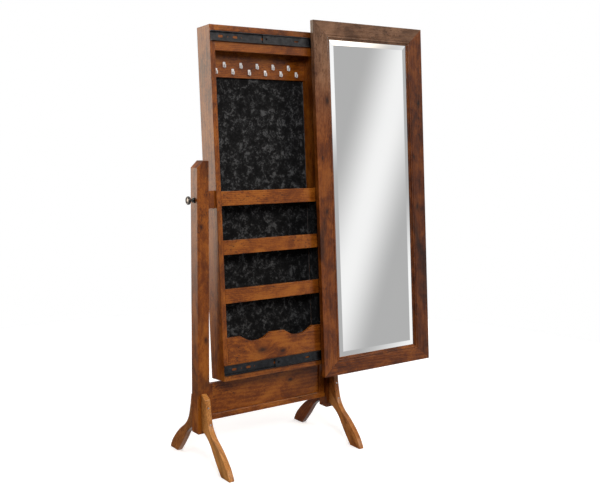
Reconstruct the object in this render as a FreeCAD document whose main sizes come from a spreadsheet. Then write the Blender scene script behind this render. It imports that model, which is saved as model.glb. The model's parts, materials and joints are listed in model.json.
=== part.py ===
import FreeCAD, Part
import math
import os

import Sketcher
from FreeCAD import Placement, Rotation, Vector

# Cheval floor mirror: a two-post stand carries a shallow jewellery cabinet that tilts about two
# pivots, and a framed mirror door slides sideways on two telescopic channel slides.
#
# Frame: X to the right, Y to the back, Z up. The origin lies on the floor, midway between the two
# posts and directly under the pivot axis. The front of the mirror faces -Y.
# The cabinet, the slides and the door are drawn upright about the pivot axis and then leaned back.

doc = FreeCAD.newDocument("cheval_mirror")

# ---------------------------------------------------------------------------------------------
# Driving dimensions, millimetres and degrees
# ---------------------------------------------------------------------------------------------
DIMENSIONS = [
    # cabinet
    ("cabinet_width", 486, "outside width of the cabinet"),
    ("cabinet_height", 1300, "outside height of the cabinet"),
    ("cabinet_depth", 92, "front edge of the side boards to the back of the back panel"),
    ("cabinet_rise", 628, "pivot axis up to the top of the cabinet"),
    ("floor_gap", 320, "floor up to the bottom of the upright cabinet"),
    ("lean", 4.6, "backward lean of the cabinet at rest, degrees"),
    ("board", 20, "thickness of the cabinet boards"),
    ("back_panel", 6, "thickness of the back panel"),
    ("shelf_board", 10, "thickness of the tray floors"),
    ("header_height", 92, "top rail behind the upper slide, including the top board"),
    ("lip_height", 53, "height of the tray lips"),
    ("lip_thickness", 15, "thickness of the tray lips and the other front rails"),
    ("lip_drop", 600, "top of the cabinet down to the top of the first lip"),
    ("pocket_rise", 160, "bottom of the cabinet up to the top of the pocket front"),
    ("scallop_depth", 24, "depth of the two dips in the pocket front"),
    ("scallop_centre", 98, "middle of the cabinet to the middle of each dip"),
    ("scallop_half", 67, "half width of each dip at its top"),
    ("scallop_shoulder", 16, "depth of the straight flanks of each dip"),
    ("scallop_floor_half", 40, "half width of the rounded floor of each dip"),
    ("lining", 2, "thickness of the velvet linings"),
    ("hook_board_height", 118, "height of the hook board"),
    ("hook_board_drop", 60, "top of the cabinet down to the top of the hook board"),
    ("hook_board_thickness", 12, "thickness of the hook board"),
    ("hook_upper_drop", 73, "top of the hook board down to the upper row of hooks"),
    ("hook_lower_drop", 97, "top of the hook board down to the lower row of hooks"),
    ("hook_pitch", 72.5, "spacing of the hooks in each row"),
    ("hook_width", 9, "width of the hook strips"),
    ("hook_rise", 12, "level of a hook up to the top of its strip"),
    ("hook_sheet", 1.6, "thickness of the hook strips"),
    ("hook_reach", 12, "how far the hooks stand out"),
    # telescopic slides
    ("slide_height", 36, "height of the outer channel"),
    ("slide_depth", 12.7, "cabinet front to door back"),
    ("slide_sheet", 1.2, "sheet thickness of the slide channels"),
    ("slide_centre", 41, "top and bottom of the cabinet to the slide centre lines"),
    ("slide_inset", 1, "side of the cabinet to the end of the slide"),
    ("slot_outer_inset", 43, "end of a slide to the first slot of its outer channel"),
    ("slot_inner_inset", 105, "end of a slide to the second slot of its outer channel"),
    ("screw_outer_inset", 74, "end of a slide to its first screw"),
    ("screw_inner_inset", 132, "end of a slide to its second screw"),
    ("door_travel", 477, "how far the door stands open"),
    ("middle_travel", 224, "how far the middle channels follow the door"),
    # door
    ("door_clearance", 3.1, "back of the leaning door to the top front edges of the posts"),
    ("door_side_lap", 37.5, "how far the door laps over each side of the cabinet"),
    ("door_top_lap", 43, "how far the door stands above the cabinet"),
    ("door_bottom_lap", 48, "how far the door hangs below the cabinet"),
    ("door_thickness", 19, "thickness of the door frame"),
    ("door_stile", 81, "overall width of the upright frame members"),
    ("door_rail", 70, "overall width of the level frame members"),
    ("door_bead", 17, "width of the groove, bead and step around the glass"),
    ("rabbet_width", 9, "how far the glass reaches behind the frame"),
    ("rabbet_depth", 10.4, "depth of the rabbet from the back of the frame"),
    ("glass_thickness", 5, "thickness of the mirror"),
    ("bevel_width", 28, "width of the ground bevel around the mirror"),
    ("bevel_drop", 2, "depth of the ground bevel at the edge"),
    # stand
    ("side_gap", 32, "clear distance between the cabinet and each post"),
    ("post_size", 47.5, "side of the square posts"),
    ("post_rise", 142, "pivot axis up to the top of the posts"),
    ("post_clearance", 121.5, "floor up to the bottom of the posts"),
    ("post_chamfer", 25.5, "bevel on the outer top edge of the posts"),
    ("foot_thickness", 22, "thickness of the feet"),
    ("foot_reach", 225, "pivot plane out to the tip of each foot"),
    ("foot_sole", 59, "length of the flat under each foot"),
    ("foot_clearance", 2.4, "bottom of the leaning door down to the tops of the feet"),
    ("foot_head_reach", 53, "pivot plane out to the front of a foot's head"),
    ("foot_head_drop", 17, "top of a foot down to the front of its head"),
    ("foot_waist_reach", 70, "pivot plane out to a foot's waist"),
    ("foot_waist_height", 176, "floor up to a foot's waist"),
    ("foot_shin_reach", 119, "pivot plane out to the top of a foot's shin"),
    ("foot_shin_height", 115.5, "floor up to the top of a foot's shin"),
    ("foot_toe_reach", 193.5, "pivot plane out to the top of a foot's toe"),
    ("foot_toe_height", 51, "floor up to the top of a foot's toe"),
    ("foot_arch_reach", 94.5, "pivot plane out to the top of the arch under a foot"),
    ("foot_arch_height", 90, "floor up to the top of the arch under a foot"),
    ("foot_root_height", 137.5, "floor up to where the underside of a foot meets its post"),
    ("foot_screw_high", 228, "floor up to the upper screws of the feet"),
    ("foot_screw_low", 168, "floor up to the lower screws of the feet"),
    ("apron_bottom", 163, "floor up to the bottom of the apron"),
    ("apron_drop", 18, "bottom of the upright cabinet down to the top of the apron"),
    ("apron_stile", 25, "width of the upright ends of the apron"),
    ("apron_rail_height", 21, "height of the apron's bottom rail"),
    # pivots
    ("stud_radius", 4, "radius of the pivot studs"),
    ("pivot_clearance", 0.05, "radial clearance of the studs in the posts"),
    ("block_height", 64, "height of the pivot blocks"),
    ("block_depth", 32, "depth of the pivot blocks"),
    ("pad_thickness", 4, "thickness of the friction pads"),
    ("pad_gap", 0.4, "running gap between a friction pad and its post"),
    ("knob_radius", 15.5, "radius of the clamp knobs"),
    ("rosette_radius", 11, "radius of the rosettes under the knobs"),
]

sheet = doc.addObject("Spreadsheet::Sheet", "Dims")
for row, (alias, value, meaning) in enumerate(DIMENSIONS, start=1):
    sheet.set("A%d" % row, alias)
    sheet.set("B%d" % row, str(value))
    sheet.set("C%d" % row, meaning)
    sheet.setAlias("B%d" % row, alias)
doc.recompute()


class Size:
    """A length with its present value and the sheet formula that drives it."""

    def __init__(self, value, formula=None):
        self.value = float(value)
        self.formula = formula if formula is not None else repr(float(value))

    def _join(self, other, sign, value):
        return Size(value, "(%s %s %s)" % (self.formula, sign, other.formula))

    def __add__(self, other):
        other = as_size(other)
        return self._join(other, "+", self.value + other.value)

    def __sub__(self, other):
        other = as_size(other)
        return self._join(other, "-", self.value - other.value)

    def __mul__(self, other):
        other = as_size(other)
        return self._join(other, "*", self.value * other.value)

    def __truediv__(self, other):
        other = as_size(other)
        return self._join(other, "/", self.value / other.value)

    def __neg__(self):
        return Size(-self.value, "(0 - %s)" % self.formula)

    def __radd__(self, other):
        return as_size(other) + self

    def __rsub__(self, other):
        return as_size(other) - self

    def __rmul__(self, other):
        return as_size(other) * self


def as_size(value):
    """A Size from a Size or a plain number."""
    return value if isinstance(value, Size) else Size(value)


def sine(angle):
    """The sine of a Size in degrees."""
    return Size(math.sin(math.radians(angle.value)), "sin(%s)" % angle.formula)


def cosine(angle):
    """The cosine of a Size in degrees."""
    return Size(math.cos(math.radians(angle.value)), "cos(%s)" % angle.formula)


def dim(alias):
    """The Size of one sheet cell."""
    return Size(sheet.get(alias), "Dims." + alias)


# ---------------------------------------------------------------------------------------------
# Helpers
# ---------------------------------------------------------------------------------------------
PARTS = []


def drive(obj, prop, size):
    """Bind one property to the sheet, unless the size is a plain number."""
    size = as_size(size)
    if "Dims." in size.formula:
        obj.setExpression(prop, size.formula)
    return size.value


def register(obj, label, leaning):
    """Name a finished sub-part and stand or lean it in the frame."""
    obj.Label = label
    if leaning:
        obj.Placement = Placement(Vector(0, 0, pivot_height.value), Rotation(Vector(1, 0, 0), -dim("lean").value))
        obj.setExpression(
            "Placement",
            "create(<<placement>>; create(<<vector>>; 0; 0; %s); "
            "create(<<rotation>>; create(<<vector>>; 1; 0; 0); 0 - Dims.lean))" % pivot_height.formula,
        )
    PARTS.append(obj)
    return obj


def new_body(label, leaning=False, group=False):
    """An empty body. A group may hold several separate solids."""
    body = doc.addObject("PartDesign::Body", label)
    body.AllowCompound = group
    return register(body, label, leaning)


def origin_feature(body, role):
    """The plane or axis of the body's own origin that has the given role."""
    for feature in body.Origin.OriginFeatures:
        if feature.Role == role:
            return feature
    raise ValueError(role)


def new_sketch(body, plane, offset=0):
    """A sketch on an origin plane, moved along the plane's normal: XY +Z, XZ -Y, YZ +X."""
    sketch = body.newObject("Sketcher::SketchObject", body.Label + "_sketch")
    sketch.AttachmentSupport = [(origin_feature(body, plane + "_Plane"), "")]
    sketch.MapMode = "FlatFace"
    offset = as_size(offset)
    sketch.AttachmentOffset = Placement(Vector(0, 0, offset.value), Rotation())
    drive(sketch, "AttachmentOffset.Base.z", offset)
    return sketch


def fix(sketch, kind, geometry, point, size):
    """Hold a point of the sketch at a distance from the sketch origin along one axis."""
    size = as_size(size)
    index = sketch.addConstraint(Sketcher.Constraint(kind, -1, 1, geometry, point, size.value))
    drive(sketch, "Constraints[%d]" % index, size)


def fix_point(sketch, geometry, point, x, y):
    """Hold a point of the sketch at sheet-driven coordinates."""
    fix(sketch, "DistanceX", geometry, point, x)
    fix(sketch, "DistanceY", geometry, point, y)


def arc_middle(start, end, radius):
    """The middle point of an arc; a positive radius bulges to the right of start to end."""
    chord = end - start
    half = chord.Length / 2
    sagitta = abs(radius) - math.sqrt(radius * radius - half * half)
    right = Vector(chord.y, -chord.x, 0).normalize()
    return (start + end) * 0.5 + right * (sagitta if radius > 0 else -sagitta)


def outline(sketch, corners, arcs=None):
    """A closed outline. Corner i runs to corner i + 1 in a line, or in an arc of radius arcs[i]."""
    arcs = arcs or {}
    corners = [(as_size(x), as_size(y)) for x, y in corners]
    points = [Vector(x.value, y.value, 0) for x, y in corners]
    count = len(points)
    ends = []
    for i in range(count):
        start = points[i]
        end = points[(i + 1) % count]
        if i in arcs:
            radius = as_size(arcs[i])
            middle = arc_middle(start, end, radius.value)
            geometry = sketch.addGeometry(Part.Arc(start, middle, end))
            swapped = (sketch.getPoint(geometry, 1) - start).Length > (sketch.getPoint(geometry, 2) - start).Length
            ends.append((geometry, 2 if swapped else 1, 1 if swapped else 2))
        else:
            geometry = sketch.addGeometry(Part.LineSegment(start, end))
            ends.append((geometry, 1, 2))
    for i in range(count):
        geometry, start_point, _ = ends[i]
        before, _, end_point = ends[i - 1]
        sketch.addConstraint(Sketcher.Constraint("Coincident", before, end_point, geometry, start_point))
        fix_point(sketch, geometry, start_point, *corners[i])
    for i, radius in arcs.items():
        radius = as_size(radius)
        radius = radius if radius.value > 0 else -radius
        index = sketch.addConstraint(Sketcher.Constraint("Radius", ends[i][0], radius.value))
        drive(sketch, "Constraints[%d]" % index, radius)


def rectangle(sketch, x0, x1, y0, y1):
    """A rectangle between two corners."""
    outline(sketch, [(x0, y0), (x1, y0), (x1, y1), (x0, y1)])


def circle(sketch, x, y, radius):
    """A full circle."""
    radius = as_size(radius)
    x, y = as_size(x), as_size(y)
    geometry = sketch.addGeometry(Part.Circle(Vector(x.value, y.value, 0), Vector(0, 0, 1), radius.value))
    fix_point(sketch, geometry, 3, x, y)
    index = sketch.addConstraint(Sketcher.Constraint("Radius", geometry, radius.value))
    drive(sketch, "Constraints[%d]" % index, radius)


def slot(sketch, x, y, half_length, radius):
    """A level slot with round ends, centred on (x, y)."""
    left, right = x - half_length, x + half_length
    low, high = y - radius, y + radius
    corners = [(left, low), (right, low), (right, high), (left, high)]
    outline(sketch, corners, {1: radius * 1.0001, 3: radius * 1.0001})


def pad(body, sketch, length):
    """Raise a sketch along its normal."""
    feature = body.newObject("PartDesign::Pad", body.Label + "_pad")
    feature.Profile = sketch
    feature.Length = as_size(length).value
    drive(feature, "Length", length)
    finish(body, feature, grows=True)
    return feature


def pocket(body, sketch, length, reverse=False):
    """Cut a sketch into the body, against its normal unless reversed."""
    feature = body.newObject("PartDesign::Pocket", body.Label + "_pocket")
    feature.Profile = sketch
    feature.Length = as_size(length).value
    feature.Reversed = reverse
    drive(feature, "Length", length)
    finish(body, feature, grows=False)
    return feature


def revolve(body, sketch, axis):
    """Turn a sketch all the way round an axis of the body's origin."""
    feature = body.newObject("PartDesign::Revolution", body.Label + "_turned")
    feature.Profile = sketch
    feature.ReferenceAxis = (axis, [""])
    feature.Angle = 360
    finish(body, feature, grows=True)
    return feature


def row(body, features, axis_role, pitch, count):
    """Repeat features in a straight row."""
    pattern = body.newObject("PartDesign::LinearPattern", body.Label + "_row")
    pattern.Originals = features
    pattern.Direction = (origin_feature(body, axis_role), [""])
    pattern.Length = (as_size(pitch) * (count - 1)).value
    drive(pattern, "Length", as_size(pitch) * (count - 1))
    pattern.Occurrences = count
    body.Tip = pattern
    finish(body, pattern)
    return pattern


def finish(body, feature, grows=None):
    """Recompute, and stop if a cut cut nothing or an addition added nothing."""
    base = feature.BaseFeature if hasattr(feature, "BaseFeature") else None
    before = base.Shape.Volume if base is not None else 0.0
    body.Tip = feature
    doc.recompute()
    after = feature.Shape.Volume
    if grows is not None and (after - before) * (1 if grows else -1) < 1e-3:
        raise RuntimeError("%s changed nothing" % feature.Name)


def board_z(label, x0, x1, y0, y1, z0, z1, leaning=True):
    """A plain board whose length runs along Z."""
    body = new_body(label, leaning)
    sketch = new_sketch(body, "XY", z0)
    rectangle(sketch, x0, x1, y0, y1)
    pad(body, sketch, as_size(z1) - z0)
    return body


def board_x(label, x0, x1, y0, y1, z0, z1, leaning=True):
    """A plain board whose length runs along X."""
    body = new_body(label, leaning)
    sketch = new_sketch(body, "YZ", x0)
    rectangle(sketch, y0, y1, z0, z1)
    pad(body, sketch, as_size(x1) - x0)
    return body


# ---------------------------------------------------------------------------------------------
# Derived positions. Cabinet and door positions are measured from the pivot axis, upright.
# ---------------------------------------------------------------------------------------------
half_width = dim("cabinet_width") / 2
board = dim("board")
inner = half_width - board
top = dim("cabinet_rise")
bottom = dim("cabinet_rise") - dim("cabinet_height")
lining = dim("lining")
lip = dim("lip_thickness")
pivot_height = dim("floor_gap") + dim("cabinet_height") - dim("cabinet_rise")

post_inner = half_width + dim("side_gap")
post_outer = post_inner + dim("post_size")
post_centre = post_inner + dim("post_size") / 2
post_half = dim("post_size") / 2

# The leaning door, when it is open, passes in front of the right post's top edge and above the
# right front foot, so these two set how far forward it hangs and how high the feet may be.
post_edge = post_half * cosine(dim("lean")) + dim("post_rise") * sine(dim("lean"))
front_offset = post_edge + dim("door_clearance") - dim("slide_depth")
front = -front_offset
back = dim("cabinet_depth") - front_offset
back_inside = back - dim("back_panel")

door_back = front - dim("slide_depth")
door_front = door_back - dim("door_thickness")
door_left = dim("door_travel") - half_width - dim("door_side_lap")
door_right = dim("door_travel") + half_width + dim("door_side_lap")
door_top = top + dim("door_top_lap")
door_bottom = bottom - dim("door_bottom_lap")
door_foot_height = pivot_height + door_bottom * cosine(dim("lean")) - door_back * sine(dim("lean"))
foot_rise = door_foot_height - dim("foot_clearance")

SIDES = [("left", -1), ("right", 1)]
TRAYS = [0, 1, 2]


def ordered(a, b):
    """Two sizes, the smaller first."""
    return (a, b) if a.value < b.value else (b, a)


# ---------------------------------------------------------------------------------------------
# Stand: two posts, four feet, an apron between the posts
# ---------------------------------------------------------------------------------------------
def make_post(name, side):
    """A square post with a bevelled outer top edge and a bore for the pivot stud."""
    body = new_body("post_" + name)
    post_top = pivot_height + dim("post_rise")
    post_bottom = dim("post_clearance")
    bevel = dim("post_chamfer")
    sketch = new_sketch(body, "XZ", -post_half)
    corners = [
        (side * post_inner, post_bottom),
        (side * post_outer, post_bottom),
        (side * post_outer, post_top - bevel),
        (side * (post_outer - bevel), post_top),
        (side * post_inner, post_top),
    ]
    outline(sketch, corners)
    pad(body, sketch, dim("post_size"))
    low, high = ordered(side * post_inner, side * post_outer)
    bore = new_sketch(body, "YZ", high)
    circle(bore, 0, pivot_height, dim("stud_radius") + dim("pivot_clearance"))
    pocket(body, bore, high - low)


def make_foot(name, side, end, direction):
    """A foot bolted to the front (-1) or back (1) face of a post and swept out to the floor."""
    body = new_body("foot_%s_%s" % (name, end))
    reach = dim("foot_reach")
    sketch = new_sketch(body, "YZ", side * post_centre - dim("foot_thickness") / 2)
    profile = [
        (post_half, foot_rise),
        (dim("foot_head_reach"), foot_rise - dim("foot_head_drop")),
        (dim("foot_waist_reach"), dim("foot_waist_height")),
        (dim("foot_shin_reach"), dim("foot_shin_height")),
        (dim("foot_toe_reach"), dim("foot_toe_height")),
        (reach, 0),
        (reach - dim("foot_sole"), 0),
        (dim("foot_arch_reach"), dim("foot_arch_height")),
        (post_half, dim("foot_root_height")),
    ]
    corners = [(direction * y, z) for y, z in profile]
    arcs = {
        1: direction * 540,
        2: direction * 119,
        3: -direction * 360,
        4: -direction * 139.5,
        6: -direction * 810,
        7: direction * 139.5,
    }
    outline(sketch, corners, arcs)
    pad(body, sketch, dim("foot_thickness"))


def make_foot_screws():
    """Two screws through each foot into its post; the heads stand a little proud."""
    body = new_body("foot_screws", group=True)
    waist = dim("foot_waist_reach")
    for height, proud in ((dim("foot_screw_high"), waist - 9.7), (dim("foot_screw_low"), waist + 5.4)):
        for direction in (-1, 1):
            length = Size(22)
            offset = -proud if direction > 0 else proud - length
            sketch = new_sketch(body, "XZ", offset)
            for _, side in SIDES:
                circle(sketch, side * post_centre, height, 3.2)
            pad(body, sketch, length)


def make_apron():
    """A panel held between two upright ends and a bottom rail with a rounded ledge."""
    low = dim("apron_bottom")
    high = dim("floor_gap") - dim("apron_drop")
    ledge = low + dim("apron_rail_height")
    stile_edge = post_inner - dim("apron_stile")
    board_x("apron_panel", -stile_edge, stile_edge, 2, 14, ledge, high, leaning=False)
    for name, side in SIDES:
        x0, x1 = ordered(side * stile_edge, side * post_inner)
        board_z("apron_end_" + name, x0, x1, -5, 18, ledge, high, leaning=False)
    rail = new_body("apron_rail")
    sketch = new_sketch(rail, "YZ", -post_inner)
    outline(sketch, [(-11, low), (18, low), (18, ledge), (-5, ledge), (-11, ledge - 6)], {3: -6.2})
    pad(rail, sketch, post_inner * 2)


for name, side in SIDES:
    make_post(name, side)
    for end, direction in (("front", -1), ("rear", 1)):
        make_foot(name, side, end, direction)
make_foot_screws()
make_apron()


# ---------------------------------------------------------------------------------------------
# Pivots: friction pad, spacer block and threaded insert on the cabinet, knob and stud through the
# post, rosette on the outside of the post
# ---------------------------------------------------------------------------------------------
STUD_BORE = dim("stud_radius") + dim("pivot_clearance")
INSERT_RADIUS = Size(6)
ROSETTE_THICKNESS = Size(2.5)
KNOB_GAP = Size(0.4)
KNOB_LENGTH = Size(25)


def bored_block(label, x0, x1, height, depth, bore):
    """A block around the pivot axis with a bore along it."""
    body = new_body(label, leaning=True)
    sketch = new_sketch(body, "YZ", x0)
    rectangle(sketch, depth / -2, depth / 2, height / -2, height / 2)
    circle(sketch, 0, 0, bore)
    pad(body, sketch, x1 - x0)


def ring(label, x0, x1, outer, bore, leaning):
    """A ring around the pivot axis."""
    body = new_body(label, leaning)
    centre = 0 if leaning else pivot_height
    sketch = new_sketch(body, "YZ", x0)
    circle(sketch, 0, centre, outer)
    circle(sketch, 0, centre, bore)
    pad(body, sketch, x1 - x0)


def make_knob(name, side):
    """A turned clamp knob: flange, waist and round head, bored for the stud."""
    body = new_body("knob_" + name, leaning=True)
    seat = post_outer + ROSETTE_THICKNESS + KNOB_GAP
    radius = dim("knob_radius")
    sketch = new_sketch(body, "XY")
    profile = [
        (0, dim("stud_radius")),
        (0, radius * 0.58),
        (2.6, radius * 0.58),
        (4.5, radius * 0.36),
        (9.5, radius * 0.33),
        (11.5, radius * 0.62),
        (17.5, radius),
        (KNOB_LENGTH, radius * 0.25),
        (KNOB_LENGTH, 0),
        (14, 0),
        (14, dim("stud_radius")),
    ]
    corners = [(side * (seat + x), r) for x, r in profile]
    outline(sketch, corners, {5: -side * radius * 0.56, 6: -side * radius * 0.92})
    revolve(body, sketch, origin_feature(body, "X_Axis"))


def make_stud(name, side):
    """The threaded stud, drawn as a plain rod from the knob into the insert."""
    body = new_body("stud_" + name, leaning=True)
    x0, x1 = ordered(side * (inner + 2), side * (post_outer + ROSETTE_THICKNESS + KNOB_GAP + 14))
    sketch = new_sketch(body, "YZ", x0)
    circle(sketch, 0, 0, dim("stud_radius"))
    pad(body, sketch, x1 - x0)


def make_pivot(name, side):
    """Every piece of one pivot."""
    pad_outer = post_inner - dim("pad_gap")
    pad_inner = pad_outer - dim("pad_thickness")
    depth = dim("block_depth")
    height = dim("block_height")
    bored_block("pivot_pad_" + name, *ordered(side * pad_inner, side * pad_outer), height, depth, STUD_BORE)
    bored_block("pivot_block_" + name, *ordered(side * half_width, side * pad_inner), height, depth, STUD_BORE)
    ring("pivot_insert_" + name, *ordered(side * inner, side * half_width), INSERT_RADIUS, STUD_BORE, True)
    rosette_outer = post_outer + ROSETTE_THICKNESS
    radius = dim("rosette_radius")
    ring("rosette_" + name, *ordered(side * post_outer, side * rosette_outer), radius, STUD_BORE, False)
    make_knob(name, side)
    make_stud(name, side)


for name, side in SIDES:
    make_pivot(name, side)


# ---------------------------------------------------------------------------------------------
# Cabinet box, trays and pocket
# ---------------------------------------------------------------------------------------------
def make_side(name, side):
    """A side board with the hole for the threaded insert."""
    x0, x1 = ordered(side * inner, side * half_width)
    body = board_z("side_" + name, x0, x1, front, back, bottom, top)
    hole = new_sketch(body, "YZ", x1)
    circle(hole, 0, 0, INSERT_RADIUS)
    pocket(body, hole, x1 - x0)


first_lip = top - dim("lip_drop")
pocket_top = bottom + dim("pocket_rise")
tray_pitch = (first_lip - pocket_top) / len(TRAYS)


def lip_top(tray):
    """Height of the top edge of a tray lip. The trays share the height above the pocket equally."""
    return first_lip - tray_pitch * tray


def tray_floor(tray):
    """Height of the upper face of a tray floor."""
    return lip_top(tray) - dim("lip_height") + dim("shelf_board")


def make_pocket_front():
    """The front board of the bottom pocket: a level top edge with two scalloped dips."""
    body = new_body("pocket_front", leaning=True)
    z0 = bottom + board
    z1 = pocket_top
    centre = dim("scallop_centre")
    half = dim("scallop_half")
    depth = dim("scallop_depth")
    shoulder = dim("scallop_shoulder")
    arc_half = dim("scallop_floor_half")
    arc_depth = depth - shoulder
    radius = (arc_half * arc_half + arc_depth * arc_depth) / (arc_depth * 2)
    corners = [(-inner, z0), (inner, z0), (inner, z1)]
    arcs = {}
    for middle in (centre, -centre):
        corners.append((middle + half, z1))
        arcs[len(corners)] = -radius
        corners.append((middle + arc_half, z1 - shoulder))
        corners.append((middle - arc_half, z1 - shoulder))
        corners.append((middle - half, z1))
    corners.append((-inner, z1))
    sketch = new_sketch(body, "XZ", -(front + lip))
    outline(sketch, corners, arcs)
    pad(body, sketch, lip)


def make_trays():
    """Three lipped trays."""
    for tray in TRAYS:
        number = tray + 1
        lip_bottom = lip_top(tray) - dim("lip_height")
        board_x("lip_rail_%d" % number, -inner, inner, front, front + lip, lip_bottom, lip_top(tray))
        board_x("shelf_%d" % number, -inner, inner, front + lip, back_inside, lip_bottom, tray_floor(tray))


def make_linings():
    """Velvet on the back, on the tray floors and on the side walls of the three lower spaces."""
    lined_back = back_inside - lining
    ceilings = [top - board] + [lip_top(tray) - dim("lip_height") for tray in TRAYS]
    floors = [tray_floor(tray) for tray in TRAYS] + [bottom + board]
    for number, (low, high) in enumerate(zip(floors, ceilings), start=1):
        board_x("back_lining_%d" % number, -inner, inner, lined_back, back_inside, low, high)
    pads = new_body("tray_pads", leaning=True, group=True)
    sketch = new_sketch(pads, "XY", tray_floor(TRAYS[-1]))
    rectangle(sketch, -(inner - lining), inner - lining, front + lip, lined_back)
    first = pad(pads, sketch, lining)
    row(pads, [first], "Z_Axis", tray_pitch, len(TRAYS))
    floor = bottom + board
    board_x("pocket_pad", -(inner - lining), inner - lining, front + lip, lined_back, floor, floor + lining)
    walls = new_body("side_linings", leaning=True, group=True)
    for low, high in list(zip(floors, ceilings))[1:]:
        for _, side in SIDES:
            x0, x1 = ordered(side * (inner - lining), side * inner)
            wall = new_sketch(walls, "XY", low)
            rectangle(wall, x0, x1, front + lip, lined_back)
            pad(walls, wall, high - low)


for name, side in SIDES:
    make_side(name, side)
board_x("top_board", -inner, inner, front, back, top - board, top)
board_x("bottom_board", -inner, inner, front, back, bottom, bottom + board)
board_x("back_panel", -inner, inner, back_inside, back, bottom + board, top - board)
board_x("header_rail", -inner, inner, front, front + lip, top - dim("header_height"), top - board)
make_trays()
make_pocket_front()
make_linings()


# ---------------------------------------------------------------------------------------------
# Hook board with two staggered rows of bent strip hooks
# ---------------------------------------------------------------------------------------------
hook_face = back_inside - lining - dim("hook_board_thickness")
hook_board_top = top - dim("hook_board_drop")


def hook_row(body, count, height):
    """One row of equal hooks, each a strip bent out, down and up again."""
    pitch = dim("hook_pitch")
    width = dim("hook_width")
    sheet_thickness = dim("hook_sheet")
    reach = dim("hook_reach")
    first_x = pitch * (1 - count) / 2
    bend_z = height - 5
    inner_bend = (reach - sheet_thickness * 2) / 2
    outer_bend = reach / 2
    sketch = new_sketch(body, "YZ", first_x - width / 2)
    corners = [
        (hook_face, height + dim("hook_rise")),
        (hook_face - sheet_thickness, height + dim("hook_rise")),
        (hook_face - sheet_thickness, bend_z),
        (hook_face - reach + sheet_thickness, bend_z),
        (hook_face - reach + sheet_thickness, height + 2),
        (hook_face - reach, height + 2),
        (hook_face - reach, bend_z),
        (hook_face, bend_z),
    ]
    outline(sketch, corners, {2: -inner_bend * 1.0001, 6: outer_bend * 1.0001})
    hook = pad(body, sketch, width)
    row(body, [hook], "X_Axis", pitch, count)


board_x("hook_board", -inner, inner, hook_face, back_inside - lining, hook_board_top - dim("hook_board_height"),
        hook_board_top)
hooks = new_body("hooks", leaning=True, group=True)
hook_row(hooks, 5, hook_board_top - dim("hook_upper_drop"))
hook_row(hooks, 6, hook_board_top - dim("hook_lower_drop"))


# ---------------------------------------------------------------------------------------------
# Telescopic slides: three nested channels above and below
# ---------------------------------------------------------------------------------------------
SLIDES = [("top", top - dim("slide_centre")), ("bottom", bottom + dim("slide_centre"))]
SHEET = dim("slide_sheet")
OUTER_HALF = dim("slide_height") / 2
SLIDE_GAP = Size(0.4)
LIP = Size(1.6)
slide_end = half_width - dim("slide_inset")
SLOTS = [side * (slide_end - dim(inset)) for inset in ("slot_outer_inset", "slot_inner_inset") for side in (-1, 1)]
SLOTS.append(Size(-14.5))
SCREWS = [side * (slide_end - dim(inset)) for inset in ("screw_outer_inset", "screw_inner_inset") for side in (-1, 1)]
SCREWS.append(Size(24))


def make_outer_channel(name, z):
    """The channel screwed to the cabinet, with inturned lips and a row of slots."""
    body = new_body("slide_outer_" + name, leaning=True)
    depth = dim("slide_depth") - 1.7
    edge = front - depth
    half = OUTER_HALF
    sketch = new_sketch(body, "YZ", -slide_end)
    upper = [
        (edge, z + half),
        (edge, z + half - SHEET - LIP),
        (edge + SHEET, z + half - SHEET - LIP),
        (edge + SHEET, z + half - SHEET),
        (front - SHEET, z + half - SHEET),
    ]
    lower = [
        (front - SHEET, z - half + SHEET),
        (edge + SHEET, z - half + SHEET),
        (edge + SHEET, z - half + SHEET + LIP),
        (edge, z - half + SHEET + LIP),
        (edge, z - half),
    ]
    outline(sketch, [(front, z - half), (front, z + half)] + upper + lower)
    pad(body, sketch, slide_end * 2)
    openings = new_sketch(body, "XZ", -(front - SHEET))
    for x in SLOTS:
        slot(openings, x, z, 5.5, 4.6)
    for x in SCREWS:
        circle(openings, x, z, 2.3)
    pocket(body, openings, SHEET)


def make_middle_channel(name, z):
    """The channel between, which follows the door at about half its travel."""
    body = new_body("slide_middle_" + name, leaning=True)
    web = front - SHEET - 2.8
    edge = front - dim("slide_depth") + 1.7 + SHEET + SLIDE_GAP
    half = OUTER_HALF - SHEET - SLIDE_GAP
    start = dim("middle_travel") - slide_end
    sketch = new_sketch(body, "YZ", start)
    corners = [
        (web, z - half),
        (web, z + half),
        (edge, z + half),
        (edge, z + half - SHEET),
        (web - SHEET, z + half - SHEET),
        (web - SHEET, z - half + SHEET),
        (edge, z - half + SHEET),
        (edge, z - half),
    ]
    outline(sketch, corners)
    pad(body, sketch, slide_end * 2)
    openings = new_sketch(body, "XZ", -(web - SHEET))
    circle(openings, start + 15, z, 4)
    slot(openings, start + 150, z, 9, 3)
    pocket(body, openings, SHEET)


def make_inner_channel(name, z):
    """The channel screwed to the back of the door."""
    body = new_body("slide_inner_" + name, leaning=True)
    edge = front - SHEET - 2.8 - SHEET - 1.4
    web = door_back + SHEET
    half = OUTER_HALF - SHEET - LIP - 0.35
    start = dim("door_travel") - slide_end
    sketch = new_sketch(body, "YZ", start)
    corners = [
        (door_back, z - half),
        (door_back, z + half),
        (edge, z + half),
        (edge, z + half - SHEET),
        (web, z + half - SHEET),
        (web, z - half + SHEET),
        (edge, z - half + SHEET),
        (edge, z - half),
    ]
    outline(sketch, corners)
    pad(body, sketch, slide_end * 2)
    openings = new_sketch(body, "XZ", -door_back)
    for x in (start + 20, start + slide_end * 2 - 20):
        circle(openings, x, z, 2.3)
    pocket(body, openings, SHEET)


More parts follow.
